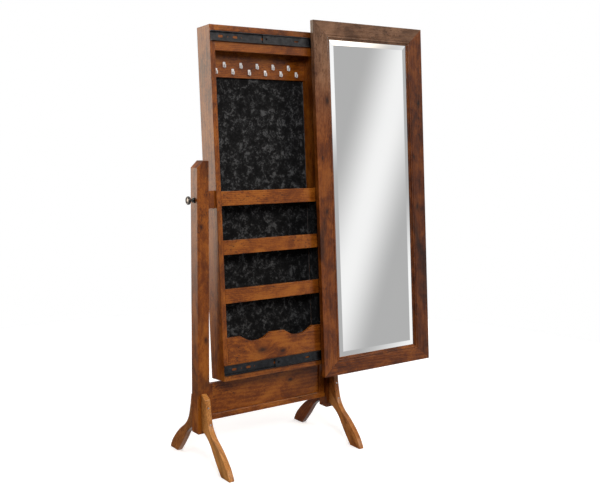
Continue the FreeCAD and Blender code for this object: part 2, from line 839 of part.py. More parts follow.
def make_slide_screws():
    """Low pan-head screws that hold the outer channels to the cabinet."""
    body = new_body("slide_screws", leaning=True, group=True)
    for _, z in SLIDES:
        for y0, y1, radius in ((front - SHEET - 1.8, front - SHEET, 4.2), (front - SHEET, front + 10, 2)):
            sketch = new_sketch(body, "XZ", -y1)
            for x in SCREWS:
                circle(sketch, x, z, radius)
            pad(body, sketch, as_size(y1) - y0)


def make_door_slide_screws():
    """Low pan-head screws that hold the inner channels to the door stiles."""
    body = new_body("door_slide_screws", leaning=True, group=True)
    start = dim("door_travel") - slide_end
    for _, z in SLIDES:
        spans = ((door_back + SHEET, door_back + SHEET + 1.8, 4.2), (door_back - 9, door_back + SHEET, 2))
        for y0, y1, radius in spans:
            sketch = new_sketch(body, "XZ", -y1)
            for x in (start + 20, start + slide_end * 2 - 20):
                circle(sketch, x, z, radius)
            pad(body, sketch, y1 - y0)


for name, z in SLIDES:
    make_outer_channel(name, z)
    make_middle_channel(name, z)
    make_inner_channel(name, z)
make_slide_screws()
make_door_slide_screws()


# ---------------------------------------------------------------------------------------------
# Door: mitred frame with a groove, bead and step, bevelled mirror, backing sheet and stops
# ---------------------------------------------------------------------------------------------
opening_left = door_left + dim("door_stile")
opening_right = door_right - dim("door_stile")
opening_top = door_top - dim("door_rail")
opening_bottom = door_bottom + dim("door_rail")
rabbet = dim("rabbet_width")
rabbet_floor = door_back - dim("rabbet_depth")


def frame_section(width):
    """Section of a frame member: (distance in from the outer edge, depth behind the face)."""
    bead = width - dim("door_bead")
    thickness = dim("door_thickness")
    return [
        (as_size(0), as_size(0)),
        (bead, as_size(0)),
        (bead + 1.5, as_size(1.8)),
        (bead + 3.0, as_size(1.8)),
        (width - 7, as_size(1.8)),
        (width - 6, as_size(5)),
        (width, as_size(6.2)),
        (width, thickness - dim("rabbet_depth")),
        (width - rabbet, thickness - dim("rabbet_depth")),
        (width - rabbet, thickness),
        (as_size(0), thickness),
    ]


BEAD_EDGE = 3
BEAD_RADIUS = 4.3


def cut_mitre(body, corner_x, corner_z, inner_x, inner_z, keep_level):
    """Cut one mitred end. The mitre runs from the outer to the inner corner of the frame."""
    sketch = new_sketch(body, "XZ", -(door_front - 1))
    waste = (corner_x, inner_z) if keep_level else (inner_x, corner_z)
    outline(sketch, [(corner_x, corner_z), waste, (inner_x, inner_z)])
    pocket(body, sketch, dim("door_thickness") + 2)


def make_stile(name, outer_x, inner_x, inward):
    """An upright frame member."""
    body = new_body("door_stile_" + name, leaning=True)
    sketch = new_sketch(body, "XY", door_bottom)
    corners = [(outer_x + inward * u, door_front + d) for u, d in frame_section(dim("door_stile"))]
    outline(sketch, corners, {BEAD_EDGE: inward * BEAD_RADIUS})
    pad(body, sketch, door_top - door_bottom)
    cut_mitre(body, outer_x, door_top, inner_x, opening_top, False)
    cut_mitre(body, outer_x, door_bottom, inner_x, opening_bottom, False)


def make_rail(name, outer_z, inner_z, inward):
    """A level frame member."""
    body = new_body("door_rail_" + name, leaning=True)
    sketch = new_sketch(body, "YZ", door_left)
    corners = [(door_front + d, outer_z + inward * u) for u, d in frame_section(dim("door_rail"))]
    outline(sketch, corners, {BEAD_EDGE: -inward * BEAD_RADIUS})
    pad(body, sketch, door_right - door_left)
    cut_mitre(body, door_left, outer_z, opening_left, inner_z, True)
    cut_mitre(body, door_right, outer_z, opening_right, inner_z, True)


def make_glass():
    """The mirror: a plain sheet with a wide ground bevel on its front."""
    body = new_body("mirror_glass", leaning=True)
    reach = rabbet - 0.5
    bevel = dim("bevel_width")
    drop = dim("bevel_drop")
    glass_front = rabbet_floor - drop * (bevel - rabbet) / bevel + 0.05
    glass_back = glass_front + dim("glass_thickness")
    x0, x1 = opening_left - reach, opening_right + reach
    z0, z1 = opening_bottom - reach, opening_top + reach
    slab = new_sketch(body, "XZ", -glass_back)
    rectangle(slab, x0, x1, z0, z1)
    pad(body, slab, dim("glass_thickness") - drop)
    edge = new_sketch(body, "XZ", -(glass_front + drop))
    rectangle(edge, x0, x1, z0, z1)
    face = new_sketch(body, "XZ", -glass_front)
    rectangle(face, x0 + bevel, x1 - bevel, z0 + bevel, z1 - bevel)
    crown = body.newObject("PartDesign::AdditiveLoft", "mirror_bevel")
    crown.Profile = edge
    crown.Sections = [face]
    crown.Ruled = True
    finish(body, crown, grows=True)
    return x0, x1, z0, z1, glass_back


def make_backing(x0, x1, z0, z1, glass_back):
    """The backing sheet behind the mirror and the stops that hold both in the rabbet."""
    sheet_back = glass_back + 3
    board_x("mirror_backing", x0, x1, glass_back, sheet_back, z0, z1)
    body = new_body("mirror_stops", leaning=True, group=True)
    width = Size(8)
    for x in (x0, x1 - width):
        sketch = new_sketch(body, "XY", z0)
        rectangle(sketch, x, x + width, sheet_back, door_back)
        pad(body, sketch, z1 - z0)
    for z in (z0, z1 - width):
        sketch = new_sketch(body, "YZ", x0 + width + 0.5)
        rectangle(sketch, sheet_back, door_back, z, z + width)
        pad(body, sketch, x1 - x0 - width * 2 - 1)


make_stile("left", door_left, opening_left, 1)
make_stile("right", door_right, opening_right, -1)
make_rail("top", door_top, opening_top, -1)
make_rail("bottom", door_bottom, opening_bottom, 1)
make_backing(*make_glass())


# ---------------------------------------------------------------------------------------------
# Checks and export
# ---------------------------------------------------------------------------------------------
doc.recompute()
for obj in doc.Objects:
    if "Invalid" in obj.State or "Error" in obj.State:
        raise RuntimeError("%s is in state %s" % (obj.Name, obj.State))

os.makedirs("parts", exist_ok=True)
for part in PARTS:
    shape = part.Shape
    if shape.isNull() or not shape.isValid():
        raise RuntimeError("%s has no valid shape" % part.Label)
    if shape.Volume < 1:
        raise RuntimeError("%s has no volume" % part.Label)
for part in PARTS:
    part.Shape.exportStep("parts/%s.step" % part.Label)
print("%d sub-parts written" % len(PARTS))
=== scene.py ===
import json
import math

import bmesh
import bpy
from mathutils import Matrix, Vector, noise


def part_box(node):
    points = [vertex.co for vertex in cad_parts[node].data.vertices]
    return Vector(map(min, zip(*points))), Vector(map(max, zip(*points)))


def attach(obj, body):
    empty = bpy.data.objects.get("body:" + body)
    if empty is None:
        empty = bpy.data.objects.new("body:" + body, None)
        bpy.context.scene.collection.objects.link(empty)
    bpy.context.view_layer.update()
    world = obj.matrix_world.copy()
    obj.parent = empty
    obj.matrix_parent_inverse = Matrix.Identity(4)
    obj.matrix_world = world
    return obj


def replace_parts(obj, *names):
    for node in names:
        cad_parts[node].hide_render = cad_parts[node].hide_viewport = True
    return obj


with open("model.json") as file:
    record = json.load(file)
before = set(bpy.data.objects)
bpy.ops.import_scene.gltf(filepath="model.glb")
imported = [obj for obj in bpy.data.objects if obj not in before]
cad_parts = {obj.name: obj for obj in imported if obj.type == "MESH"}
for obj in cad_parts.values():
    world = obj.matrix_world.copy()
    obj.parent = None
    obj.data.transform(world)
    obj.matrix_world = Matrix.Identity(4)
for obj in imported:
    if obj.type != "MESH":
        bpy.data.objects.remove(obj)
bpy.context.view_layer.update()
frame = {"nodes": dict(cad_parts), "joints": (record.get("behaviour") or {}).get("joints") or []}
NODES = frame["nodes"]
SCENE = bpy.context.scene
MM = 0.001

# ---------------------------------------------------------------------------------------------
# The leaned frame. The cabinet and the door were drawn upright about the pivot axis and then
# leaned back, so their details are also laid out upright: x across, v to the back, w up.
# ---------------------------------------------------------------------------------------------
PIVOT = Vector(next(j["pos_m"] for j in frame["joints"] if j["name"] == "cabinet_tilt"))
side_corners = [v.co for v in NODES["side_left"].data.vertices]
edge_foot = min(side_corners, key=lambda p: p.y)
edge_head = max(side_corners, key=lambda p: p.z)
LEAN = math.atan2(edge_head.y - edge_foot.y, edge_head.z - edge_foot.z)
LEANED = Matrix.Translation(PIVOT) @ Matrix.Rotation(-LEAN, 4, "X")
UPRIGHT = LEANED.inverted()


def islands(node, turn=None):
    """Lowest and highest corners of each separate solid of a CAD node, upright unless turn is given."""
    turn = UPRIGHT if turn is None else turn
    bm = bmesh.new()
    bm.from_mesh(NODES[node].data)
    bmesh.ops.remove_doubles(bm, verts=bm.verts, dist=1e-6)
    boxes, seen = [], set()
    for start in bm.verts:
        if start in seen:
            continue
        seen.add(start)
        group, todo = [], [start]
        while todo:
            vert = todo.pop()
            group.append(turn @ vert.co)
            for edge in vert.link_edges:
                other = edge.other_vert(vert)
                if other not in seen:
                    seen.add(other)
                    todo.append(other)
        low = Vector([min(p[i] for p in group) for i in range(3)])
        high = Vector([max(p[i] for p in group) for i in range(3)])
        boxes.append((low, high))
    bm.free()
    return sorted(boxes, key=lambda b: tuple(b[0]))


def upright_box(node):
    """Lowest and highest corners of a whole CAD node, upright."""
    boxes = islands(node)
    low = Vector([min(b[0][i] for b in boxes) for i in range(3)])
    high = Vector([max(b[1][i] for b in boxes) for i in range(3)])
    return low, high


# ---------------------------------------------------------------------------------------------
# Shader trees
# ---------------------------------------------------------------------------------------------
class Tree:
    """A node tree with short calls that add a node, feed its inputs and give its output."""

    def __init__(self, tree):
        self.tree = tree
        tree.nodes.clear()

    def node(self, kind, inputs=None, **settings):
        made = self.tree.nodes.new(kind)
        for key, value in settings.items():
            setattr(made, key, value)
        for key, value in (inputs or {}).items():
            self.feed(made.inputs[key], value)
        return made

    def feed(self, socket, value):
        if isinstance(value, bpy.types.NodeSocket):
            self.tree.links.new(value, socket)
        else:
            socket.default_value = value

    def math(self, operation, *values, clamp=False):
        inputs = dict(enumerate(values))
        return self.node("ShaderNodeMath", inputs, operation=operation, use_clamp=clamp).outputs[0]

    def vector(self, operation, *values, output=0):
        inputs = dict(enumerate(values))
        return self.node("ShaderNodeVectorMath", inputs, operation=operation).outputs[output]

    def noise(self, vector, scale, detail=3.0, rough=0.5, twist=0.0):
        """Noise of about 0 to 1 over a vector in metres, with scale cells to the metre on each axis."""
        cells = self.vector("MULTIPLY", vector, scale)
        inputs = {"Vector": cells, "Scale": 1.0, "Detail": detail, "Roughness": rough, "Distortion": twist}
        return self.node("ShaderNodeTexNoise", inputs).outputs[0]

    def remap(self, value, low, high, to_low=0.0, to_high=1.0):
        """Value from low..high to to_low..to_high with soft ends."""
        inputs = {0: value, 1: low, 2: high, 3: to_low, 4: to_high}
        return self.node("ShaderNodeMapRange", inputs, interpolation_type="SMOOTHSTEP").outputs[0]

    def ramp(self, value, stops):
        """Colour for a value, from stops of (position, colour)."""
        made = self.node("ShaderNodeValToRGB", {0: value})
        elements = made.color_ramp.elements
        while len(elements) < len(stops):
            elements.new(0.5)
        for element, (position, colour) in zip(elements, stops):
            element.position = position
            element.color = (*colour, 1.0)
        return made.outputs[0]

    def blend(self, share, low, high):
        """Colour low turned into colour high by share."""
        made = self.node("ShaderNodeMix", {0: share}, data_type="RGBA")
        for socket, value in ((made.inputs[6], low), (made.inputs[7], high)):
            self.feed(socket, value if isinstance(value, bpy.types.NodeSocket) else (*value, 1.0))
        return made.outputs[2]

    def bump(self, height, distance, strength=1.0):
        inputs = {"Height": height, "Distance": distance, "Strength": strength}
        return self.node("ShaderNodeBump", inputs).outputs[0]


def material(name, **constants):
    """A new material, its tree, its Principled shader with the constants set, and object coordinates."""
    made = bpy.data.materials.new(name)
    made.use_nodes = True
    tree = Tree(made.node_tree)
    shader = tree.node("ShaderNodeBsdfPrincipled")
    for key, value in constants.items():
        shader.inputs[key.replace("_", " ")].default_value = value
    out = tree.node("ShaderNodeOutputMaterial")
    tree.feed(out.inputs[0], shader.outputs[0])
    place = tree.node("ShaderNodeTexCoord").outputs["Object"]
    return made, tree, shader, place


RING_PITCH = 0.0055


def figure_group():
    """Wood figure over a vector in metres whose Z runs along the grain."""
    group = bpy.data.node_groups.new("wood_figure", "ShaderNodeTree")
    group.interface.new_socket("Place", in_out="INPUT", socket_type="NodeSocketVector")
    group.interface.new_socket("Bend", in_out="INPUT", socket_type="NodeSocketFloat")
    for name in ("Tone", "Stain", "Streak", "Pores", "Flecks"):
        group.interface.new_socket(name, in_out="OUTPUT", socket_type="NodeSocketFloat")
    tree = Tree(group)
    entry = tree.node("NodeGroupInput")
    place, bend = entry.outputs[0], entry.outputs[1]
    drift = tree.noise(place, (5, 5, 1.2), detail=2)
    radius = tree.vector("LENGTH", tree.vector("MULTIPLY", place, (1, 1, 0.02)), output=1)
    radius = tree.math("MULTIPLY_ADD", drift, 0.05, radius)
    radius = tree.math("MULTIPLY_ADD", bend, 0.012, radius)
    rings = tree.math("SINE", tree.math("MULTIPLY", radius, math.tau / RING_PITCH))
    rings = tree.math("MULTIPLY_ADD", rings, 0.5, 0.5)
    blotch = tree.noise(place, (13, 13, 7.5), detail=6, rough=0.68, twist=0.5)
    streak = tree.noise(place, (170, 170, 3.5), detail=5, rough=0.6, twist=0.2)
    flame = tree.noise(place, (48, 48, 20), detail=4, rough=0.65, twist=0.6)
    grit = tree.noise(place, (330, 330, 150), detail=3, rough=0.65)
    tone = tree.math("MULTIPLY", blotch, 0.52)
    for layer, share in ((streak, 0.09), (flame, 0.16), (grit, 0.19), (rings, 0.04)):
        tone = tree.math("MULTIPLY_ADD", layer, share, tone)
    out = tree.node("NodeGroupOutput")
    tree.feed(out.inputs["Tone"], tree.remap(tone, 0.36, 0.62))
    stain = tree.noise(place, (5.5, 5.5, 2.4), detail=4, rough=0.6, twist=1.2)
    tree.feed(out.inputs["Stain"], tree.remap(stain, 0.53, 0.72))
    tree.feed(out.inputs["Streak"], streak)
    flecks = tree.noise(place, (240, 240, 85), detail=2, rough=0.5)
    patches = tree.remap(tree.noise(place, (9, 9, 5), detail=2), 0.40, 0.62)
    tree.feed(out.inputs["Flecks"], tree.math("MULTIPLY", tree.remap(flecks, 0.57, 0.67), patches))
    pores = tree.noise(place, (1500, 1500, 60), detail=2)
    tree.feed(out.inputs["Pores"], tree.remap(pores, 0.56, 0.74))
    return group


FIGURE = figure_group()
GRAIN_ALONG = {"z": (0.0, 0.0, 0.0), "x": (0.0, -math.pi / 2, 0.0)}
# colours of the wood from the darkest to the lightest of its figure
CHERRY = [
    (0.0, (0.110, 0.024, 0.003)),
    (0.35, (0.200, 0.048, 0.0045)),
    (0.65, (0.300, 0.080, 0.0075)),
    (1.0, (0.400, 0.125, 0.014)),
]
DOOR_CHERRY = [
    (0.0, (0.065, 0.014, 0.0025)),
    (0.35, (0.140, 0.032, 0.004)),
    (0.65, (0.220, 0.056, 0.0065)),
    (1.0, (0.300, 0.088, 0.012)),
]
# a darker ramp for pieces on the right: painted shade for the shadow they lie in, and on the right door stile
# partly a darker stain as well
PAINTED_SHADE_CHERRY = [
    (0.0, (0.034, 0.008, 0.002)),
    (0.35, (0.090, 0.019, 0.003)),
    (0.65, (0.145, 0.035, 0.005)),
    (1.0, (0.225, 0.062, 0.009)),
]
# colours of a painted sheen: the greyer, olive look the upper door takes from reflecting the bright surround
PAINTED_SHEEN_CHERRY = [
    (0.0, (0.075, 0.032, 0.014)),
    (0.35, (0.145, 0.068, 0.034)),
    (0.65, (0.205, 0.100, 0.052)),
    (1.0, (0.270, 0.138, 0.074)),
]
PALE_CHERRY = [
    (0.0, (0.230, 0.075, 0.014)),
    (0.35, (0.400, 0.145, 0.030)),
    (0.65, (0.540, 0.220, 0.052)),
    (1.0, (0.660, 0.300, 0.085)),
]
WARM_CHERRY = [
    (0.0, (0.180, 0.050, 0.010)),
    (0.35, (0.300, 0.096, 0.019)),
    (0.65, (0.410, 0.145, 0.032)),
    (1.0, (0.520, 0.205, 0.050)),
]
# the feet are cut from paler boards than the posts; the one at the right rear is given the darker ramp
# instead, as painted shade
FOOT_SHADES = {
    "foot_left_front": PALE_CHERRY,
    "foot_left_rear": WARM_CHERRY,
    "foot_right_front": WARM_CHERRY,
    "foot_right_rear": PAINTED_SHADE_CHERRY,
}
PORE_STRENGTH = 0.35
FLECK_STRENGTH = 0.75
# how unevenly the painted sheen on the upper door begins
PAINTED_SHEEN_UNEVEN = 0.12
STAIN_DARK = (0.020, 0.008, 0.005)
KNOT_DARK = (0.010, 0.005, 0.004)


def wood(
    node,
    along,
    seed,
    colours=CHERRY,
    knots=(),
    gloss=0.30,
    turn=None,
    leaning=False,
    stain=0.75,
    greying=None,
):
    """Stained, lacquered cherry for one board.

    along is the axis of the grain, or turn its angles. Each seed cuts the board from another place of the
    figure. knots are (x, y or v, z or w, radius) in metres. stain is the strength of the dark clouds, and
    the last argument is the pair of heights between which a painted sheen turns the board greyer and olive.
    """
    made, tree, shader, place = material(
        node + "_wood", Specular_IOR_Level=0.16, Coat_Weight=0.28, Coat_Roughness=0.16
    )
    angles = list(turn or GRAIN_ALONG[along])
    angles[0] += LEAN if leaning else 0.0
    rotation = Matrix.Rotation(angles[1], 4, "Y") @ Matrix.Rotation(angles[0], 4, "X")
    # where in the figure the board is cut
    shift = Vector((0.11 + 0.13 * math.sin(seed * 2.1), 0.16 * math.cos(seed * 1.3), seed * 0.77))
    inputs = {"Vector": place, "Rotation": angles, "Location": shift}
    along_grain = tree.node("ShaderNodeMapping", inputs, vector_type="POINT").outputs[0]
    centre_turn = LEANED if leaning else Matrix.Identity(4)
    bend, dark = 0.0, 0.0
    for x, y, z, radius in knots:
        centre = rotation @ (centre_turn @ Vector((x, y, z))) + shift
        away = tree.vector("MULTIPLY", tree.vector("SUBTRACT", along_grain, centre), (1, 1, 0.55))
        distance = tree.vector("LENGTH", away, output=1)
        wobble = tree.noise(along_grain, (90, 90, 60), detail=2)
        distance = tree.math("MULTIPLY_ADD", wobble, radius * 0.9, distance)
        bend = tree.math("ADD", bend, tree.remap(distance, radius * 0.6, radius * 4.5, 1.0, 0.0))
        dark = tree.math("MAXIMUM", dark, tree.remap(distance, radius * 0.5, radius * 2.2, 0.85, 0.0))
    figure = tree.node("ShaderNodeGroup", node_tree=FIGURE)
    tree.feed(figure.inputs["Place"], along_grain)
    tree.feed(figure.inputs["Bend"], bend)
    colour = tree.ramp(figure.outputs["Tone"], colours)
    # painted sheen: between the given heights the board is blended to greyer, olive colours, standing in for
    # the reflection on the upper door
    if greying:
        level = tree.node("ShaderNodeSeparateXYZ", {0: place}).outputs[2]
        uneven = tree.math("SUBTRACT", figure.outputs["Tone"], 0.5)
        level = tree.math("MULTIPLY_ADD", uneven, PAINTED_SHEEN_UNEVEN, level)
        sheen_colour = tree.ramp(figure.outputs["Tone"], PAINTED_SHEEN_CHERRY)
        colour = tree.blend(tree.remap(level, *greying), colour, sheen_colour)
    for layer, strength in (("Stain", stain), ("Pores", PORE_STRENGTH), ("Flecks", FLECK_STRENGTH)):
        colour = tree.blend(tree.math("MULTIPLY", figure.outputs[layer], strength), colour, STAIN_DARK)
    if knots:
        halo = tree.math("MULTIPLY", bend, 0.55, clamp=True)
        colour = tree.blend(halo, colour, colours[0][1])
        colour = tree.blend(dark, colour, KNOT_DARK)
    tree.feed(shader.inputs["Base Color"], colour)
    rough = tree.math("MULTIPLY_ADD", figure.outputs["Streak"], 0.22, gloss - 0.10)
    tree.feed(shader.inputs["Roughness"], rough)
    height = tree.math("MULTIPLY_ADD", figure.outputs["Pores"], -0.5, figure.outputs["Streak"])
    tree.feed(shader.inputs["Normal"], tree.bump(height, 0.00035, 0.35))
    return made


def dress(node, made):
    """Put one material on a CAD node."""
    slots = NODES[node].material_slots
    if not slots:
        NODES[node].data.materials.append(made)
    for item in NODES[node].material_slots:
        item.material = made


def soften(node, width, segments=3):
    """Round the edges of a CAD node with modifiers."""
    piece = NODES[node]
    weld = piece.modifiers.new("weld", "WELD")
    weld.merge_threshold = 1e-6
    flatten = piece.modifiers.new("flatten", "DECIMATE")
    flatten.decimate_type = "DISSOLVE"
    flatten.angle_limit = math.radians(0.4)
    bevel = piece.modifiers.new("bevel", "BEVEL")
    bevel.width = width
    bevel.segments = segments
    bevel.limit_method = "ANGLE"
    bevel.angle_limit = math.radians(34)
    bevel.use_clamp_overlap = True
    bevel.harden_normals = False
    piece.modifiers.new("normals", "WEIGHTED_NORMAL").keep_sharp = False
    for face in piece.data.polygons:
        face.use_smooth = True


# ---------------------------------------------------------------------------------------------
# Wood boards
# ---------------------------------------------------------------------------------------------
def along_box(node, share, leaning=True):
    """A point of a node's box from shares of its three extents, upright when it leans."""
    low, high = upright_box(node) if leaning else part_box(node)
    return [low[i] + (high[i] - low[i]) * share[i] for i in range(3)]


def knot(node, share, radius, leaning=True):
    """A knot of some radius at shares of a node's box."""
    return (*along_box(node, share, leaning), radius)


def board(node, edge, along, seed, **look):
    """Give a node its own wood and round its edges."""
    dress(node, wood(node, along, seed, **look))
    soften(node, edge)


SHARP_EDGE = 0.0006
THIN_EDGE = 0.0008
DOOR_EDGE = 0.0009
END_EDGE = 0.0012
BOARD_EDGE = 0.0014
POST_EDGE = 0.0016
FOOT_EDGE = 0.0022
FOOT_SLOPE = math.radians(40)
# heights between which the upper door gets its painted sheen
UPPER_DOOR_PAINTED_SHEEN = (1.18, 1.62)
DOOR_GLOSS = 0.27
MATT = 0.45
CALM = 0.5
for number, side in enumerate(("left", "right")):
    at_left = side == "left"
    post = "post_" + side
    streaks = [knot(post, (0.35, 0.0, 0.765), 0.005, False), knot(post, (0.7, 0.0, 0.35), 0.006, False)]
    # the right post takes the darker ramp: painted shade
    board(post, POST_EDGE, "z", 1.7 + number, colours=CHERRY if at_left else PAINTED_SHADE_CHERRY, knots=streaks)
    for end, slope in (("front", FOOT_SLOPE), ("rear", -FOOT_SLOPE)):
        foot = f"foot_{side}_{end}"
        seed = 3.1 + number * 2 + slope
        board(foot, FOOT_EDGE, None, seed, colours=FOOT_SHADES[foot], turn=(slope, 0.0, 0.0), stain=CALM)
    board("apron_end_" + side, END_EDGE, "z", 8.3 + number)
    board("side_" + side, BOARD_EDGE, "z", 5.2 + number, leaning=True, stain=CALM)
    board("pivot_block_" + side, BOARD_EDGE, "z", 9.9 + number, leaning=True)
    stile = "door_stile_" + side
    spots = [
        knot(stile, (0.45, 0.0, 0.47), 0.006),
        knot(stile, (0.3, 0.0, 0.62), 0.004),
        knot(stile, (0.7, 0.0, 0.78), 0.007),
    ]
    # the right stile takes the darker ramp, partly a darker stain and partly painted shade; the left stile
    # takes the painted sheen of the upper door
    board(
        stile,
        DOOR_EDGE,
        "z",
        12.4 + number * 1.9,
        colours=DOOR_CHERRY if at_left else PAINTED_SHADE_CHERRY,
        knots=spots,
        gloss=DOOR_GLOSS,
        leaning=True,
        greying=UPPER_DOOR_PAINTED_SHEEN if at_left else None,
    )
for number, end in enumerate(("top", "bottom")):
    # the door rails share the painted sheen of the upper door
    look = {"colours": DOOR_CHERRY, "gloss": DOOR_GLOSS, "leaning": True, "greying": UPPER_DOOR_PAINTED_SHEEN}
    board("door_rail_" + end, DOOR_EDGE, "x", 15.5 + number * 2.7, **look)
    board(end + "_board", BOARD_EDGE, "x", 18.2 + number * 1.1, leaning=True)
for number in (1, 2, 3):
    board(f"lip_rail_{number}", BOARD_EDGE, "x", 20.5 + number * 1.3, leaning=True, stain=0.6)
    board(f"shelf_{number}", THIN_EDGE, "x", 26.5 + number, leaning=True)
board("header_rail", BOARD_EDGE, "x", 31.3, leaning=True)
POCKET_KNOTS = [
    knot("pocket_front", (0.55, 0.0, 0.44), 0.006),
    knot("pocket_front", (0.34, 0.0, 0.55), 0.010),
]
board("pocket_front", POST_EDGE, "x", 33.8, knots=POCKET_KNOTS, leaning=True)
board("hook_board", BOARD_EDGE, "x", 36.1, leaning=True, stain=CALM)
APRON_KNOTS = [knot("apron_panel", (0.72, 0.0, 0.62), 0.006, False)]
board("apron_panel", THIN_EDGE, "x", 38.6, knots=APRON_KNOTS)
board("apron_rail", BOARD_EDGE, "x", 40.9)
board("back_panel", SHARP_EDGE, "z", 43.7, leaning=True, gloss=MATT, stain=0.3)
board("mirror_stops", THIN_EDGE, "z", 45.3, colours=DOOR_CHERRY, leaning=True, gloss=MATT)


# ---------------------------------------------------------------------------------------------
# Other materials
# ---------------------------------------------------------------------------------------------
def hardboard():
    """Plain brown hardboard, specked and a little clouded."""
    made, tree, shader, place = material("hardboard", Roughness=0.75)
    fleck = tree.noise(place, (900, 900, 900), detail=3)
    cloud = tree.noise(place, (14, 14, 14), detail=4)
    colour = tree.ramp(fleck, [(0.3, (0.11, 0.065, 0.038)), (0.7, (0.19, 0.125, 0.080))])
    colour = tree.blend(tree.math("MULTIPLY", cloud, 0.4), colour, (0.09, 0.055, 0.035))
    tree.feed(shader.inputs["Base Color"], colour)
    tree.feed(shader.inputs["Normal"], tree.bump(fleck, 0.0003, 0.4))
    return made


def silvered_glass():
    """A mirror with the faintest haze and smears."""
    made, tree, shader, place = material("silvered_glass", Metallic=1.0, Roughness=0.012)
    haze = tree.noise(place, (6, 6, 6), detail=3)
    colour = tree.ramp(haze, [(0.2, (0.925, 0.93, 0.93)), (0.8, (0.945, 0.945, 0.94))])
    tree.feed(shader.inputs["Base Color"], colour)
    smear = tree.noise(place, (25, 25, 9), detail=3)
    tree.feed(shader.inputs["Roughness"], tree.remap(smear, 0.4, 0.8, 0.008, 0.025))
    return made


def crushed_velvet():
    """Black velvet whose pile lies in crushed patches, with a painted sheen: the base colour is lighter on
    those patches.
    """
    made, tree, shader, place = material(
        "crushed_velvet", Roughness=0.92, Specular_IOR_Level=0.15, Sheen_Weight=0.28, Sheen_Roughness=0.35
    )
    shader.inputs["Sheen Tint"].default_value = (0.62, 0.64, 0.66, 1.0)
    crush = tree.noise(place, (34, 34, 34), detail=6, rough=0.72, twist=0.45)
    crease = tree.noise(place, (130, 130, 130), detail=4, rough=0.75, twist=0.5)
    pile = tree.noise(place, (2600, 2600, 2600), detail=1)
    crush_and_painted_sheen = tree.math("MULTIPLY_ADD", crease, 0.4, tree.math("MULTIPLY", crush, 0.6))
    crush_and_painted_sheen = tree.remap(crush_and_painted_sheen, 0.42, 0.62)
    # painted sheen: the crushed patches are painted lighter in the base colour; the same pattern also drives
    # the bump
    blacks = [(0.0, (0.003, 0.003, 0.0032)), (0.5, (0.014, 0.014, 0.0145)), (1.0, (0.105, 0.106, 0.108))]
    colour = tree.ramp(crush_and_painted_sheen, blacks)
    colour = tree.blend(tree.math("MULTIPLY", pile, 0.35), colour, (0.006, 0.006, 0.007))
    tree.feed(shader.inputs["Base Color"], colour)
    height = tree.math("MULTIPLY_ADD", pile, 0.25, crush_and_painted_sheen)
    tree.feed(shader.inputs["Normal"], tree.bump(height, 0.0012, 0.7))
    return made


SCRATCH_DEPTH = 0.00005


def metal(name, colours, rough, metallic=1.0, scratch=(400, 400, 400), coat=0.0):
    """A metal between two colours, with scratches of so many to the metre along each axis."""
    made, tree, shader, place = material(name, Metallic=metallic, Coat_Weight=coat, Coat_Roughness=0.12)
    grain = tree.noise(place, scratch, detail=3)
    wear = tree.noise(place, (60, 60, 60), detail=4, rough=0.6)
    colour = tree.ramp(wear, [(0.35, colours[0]), (0.7, colours[1])])
    tree.feed(shader.inputs["Base Color"], colour)
    tree.feed(shader.inputs["Roughness"], tree.remap(grain, 0.3, 0.7, rough * 0.8, rough * 1.25))
    tree.feed(shader.inputs["Normal"], tree.bump(grain, SCRATCH_DEPTH, 0.5))
    return made


def rubber():
    """Black rubber with a little dust."""
    made, tree, shader, place = material("rubber", Roughness=0.8)
    dust = tree.noise(place, (220, 220, 220), detail=4)
    colour = tree.ramp(dust, [(0.3, (0.010, 0.010, 0.011)), (0.75, (0.028, 0.027, 0.026))])
    tree.feed(shader.inputs["Base Color"], colour)
    tree.feed(shader.inputs["Normal"], tree.bump(dust, 0.0002, 0.3))
    return made


HARDBOARD = hardboard()
SILVERED = silvered_glass()
VELVET = crushed_velvet()
RUBBER = rubber()
BLACK_ZINC = metal("black_zinc", ((0.030, 0.031, 0.034), (0.060, 0.062, 0.068)), 0.34, scratch=(25, 900, 900))
# the hooks are a near-white gloss
NICKEL = metal("satin_nickel", ((0.95, 0.94, 0.92), (0.99, 0.98, 0.97)), 0.34, metallic=0.03, coat=0.7)
# a pale painted reflection, set as a disc in the dish of each knob where it mirrors the bright surround
PAINTED_REFLECTION = metal("painted_reflection_cap", ((0.42, 0.38, 0.34), (0.60, 0.55, 0.50)), 0.35, metallic=0.4, coat=0.3)
BRONZE = metal("dark_bronze", ((0.018, 0.014, 0.011), (0.045, 0.032, 0.022)), 0.22, metallic=0.7, coat=0.8)
ZINC = metal("bright_zinc", ((0.50, 0.51, 0.52), (0.64, 0.64, 0.63)), 0.3, scratch=(60, 900, 900))
BRASS = metal("turned_brass", ((0.62, 0.43, 0.17), (0.74, 0.54, 0.24)), 0.25, scratch=(1200, 80, 80))

dress("mirror_backing", HARDBOARD)
soften("mirror_backing", 0.0005)
dress("mirror_glass", SILVERED)
for end in ("top", "bottom"):
    for member in ("outer", "middle", "inner"):
        dress(f"slide_{member}_{end}", BLACK_ZINC)
        soften(f"slide_{member}_{end}", 0.0003, 2)
for side in ("left", "right"):
    for name, made, width in (
        ("rosette_", BRONZE, 0.0004),
        ("stud_", ZINC, 0.0002),
        ("pivot_pad_", RUBBER, 0.0005),
        ("pivot_insert_", BRASS, 0.0003),
    ):
        dress(name + side, made)
        soften(name + side, width)


